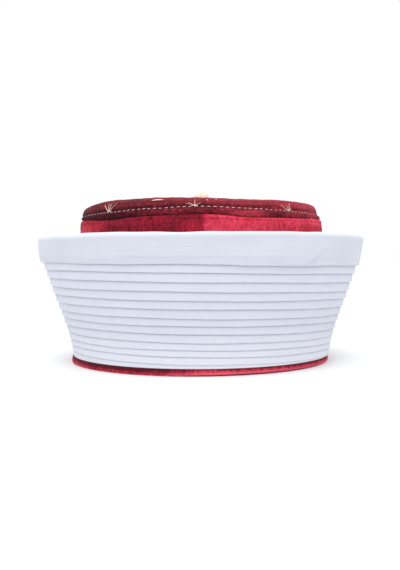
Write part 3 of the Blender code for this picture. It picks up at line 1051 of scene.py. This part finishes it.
def make_sprigs(material):
    """The embroidery: fans on the running stitch and groups of small leaves on the panel."""
    mesh = bmesh.new()
    mesh.loops.layers.uv.new("cloth")
    for sprig in SPRIGS:
        add_sprig(mesh, sprig)
    for number in range(LEAF_COUNT):
        for leaf in LEAVES:
            add_leaf(mesh, LEAF_ANGLE + 2 * math.pi * number / LEAF_COUNT, leaf)
    return finish_mesh("gold_sprigs", mesh, material)


# Stage


def make_floor():
    """A wide pale floor that fades into the white studio."""
    mesh = bmesh.new()
    corners = [(FLOOR_REACH * x, FLOOR_REACH * y, 0) for x, y in ((-1, -1), (1, -1), (1, 1), (-1, 1))]
    mesh.faces.new([mesh.verts.new(corner) for corner in corners])
    data = bpy.data.meshes.new("floor")
    mesh.to_mesh(data)
    mesh.free()
    material, shader = new_material("pale_floor", roughness=0.9, specular_ior_level=0.1)
    tone = node(material, "ShaderNodeTexNoise", {"Scale": 3.0, "Detail": 2}).outputs[0]
    darker, lighter = FLOOR_GREYS
    color = ramp(material, tone, [(0.2, darker), (0.8, lighter)])
    material.node_tree.links.new(color, shader.inputs["Base Color"])
    data.materials.append(material)
    floor = bpy.data.objects.new("floor", data)
    bpy.context.scene.collection.objects.link(floor)


def add_lamp(name, light, direction, place=(0, 0, 0)):
    """Links a light that shines in a direction."""
    lamp = bpy.data.objects.new(name, light)
    lamp.location = place
    lamp.rotation_euler = Vector(direction).to_track_quat("-Z", "Y").to_euler()
    bpy.context.scene.collection.objects.link(lamp)


def make_light():
    """A white studio with a softbox in front and wide soft light from overhead."""
    world = bpy.data.worlds.new("studio")
    bpy.context.scene.world = world
    world.use_nodes = True
    background = world.node_tree.nodes["Background"]
    background.inputs["Color"].default_value = (1.0, 1.0, 1.0, 1)
    background.inputs["Strength"].default_value = 1.0
    front = bpy.data.lights.new("front", "AREA")
    front.shape = "SQUARE"
    front.size = FRONT_LIGHT["size"]
    front.energy = FRONT_LIGHT["power"]
    direction = np.array(FRONT_LIGHT["target"]) - np.array(FRONT_LIGHT["place"])
    add_lamp("front", front, direction, FRONT_LIGHT["place"])
    overhead = bpy.data.lights.new("overhead", "SUN")
    overhead.energy = OVERHEAD_POWER
    overhead.angle = OVERHEAD_SPREAD
    add_lamp("overhead", overhead, OVERHEAD_DIRECTION)


def make_camera():
    camera = bpy.data.cameras.new("camera")
    camera.sensor_width = SENSOR
    camera.lens = CAMERA_LENS
    seat = bpy.data.objects.new("camera", camera)
    seat.location = (CAMERA_SIDE, -CAMERA_DISTANCE, CAMERA_HEIGHT + LIFT)
    seat.rotation_euler = (math.pi / 2 - CAMERA_PITCH, 0, 0)
    bpy.context.scene.collection.objects.link(seat)
    bpy.context.view_layer.update()
    seat.matrix_world = seat.matrix_world @ Matrix.Rotation(CAMERA_ROLL, 4, "Z")
    bpy.context.scene.camera = seat


def main():
    make_camera()
    make_floor()
    make_light()
    bpy.context.scene.view_settings.view_transform = "Standard"
    crown = make_crown(velvet("crown_velvet", CROWN_REDS, 0.155, (90, 900, 1), crown_sheen_and_shade))
    sarik = make_sarik(cotton("pleat_cotton", PLEAT_WHITES, foot_painted_light))
    band = make_band(cotton("band_cotton", BAND_WHITES, fold_highlight))
    wall = make_wall(velvet("wall_velvet", WALL_REDS, 0.20, (420, 120, 1), wall_sheen_and_shade))
    rim = make_rim(velvet("rim_velvet", RIM_REDS, 0.18, (500, 300, 1), rim_shade_and_highlight))
    button = make_button(thread("button_thread", CREAM, 0.05))
    stitches = make_stitches(thread("stitch_thread", ROSE, 0.0))
    sprigs = make_sprigs(thread("gold_embroidery", GOLD, 0.10))
    pieces = [
        (wall, "fez_wall", "red_velvet"),
        (rim, "rim_binding", "red_velvet"),
        (crown, "crown_top", "wine_velvet"),
        (button, "crown_button", "gold_thread"),
        (sarik, "sarik_winding", "white_cotton"),
        (band, "top_band", "white_cotton"),
        (stitches, None, "gold_thread"),
        (sprigs, None, "gold_thread"),
    ]
    for piece, replaced, slot in pieces:
        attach(piece, "root")
        if replaced:
            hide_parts(replaced)


main()
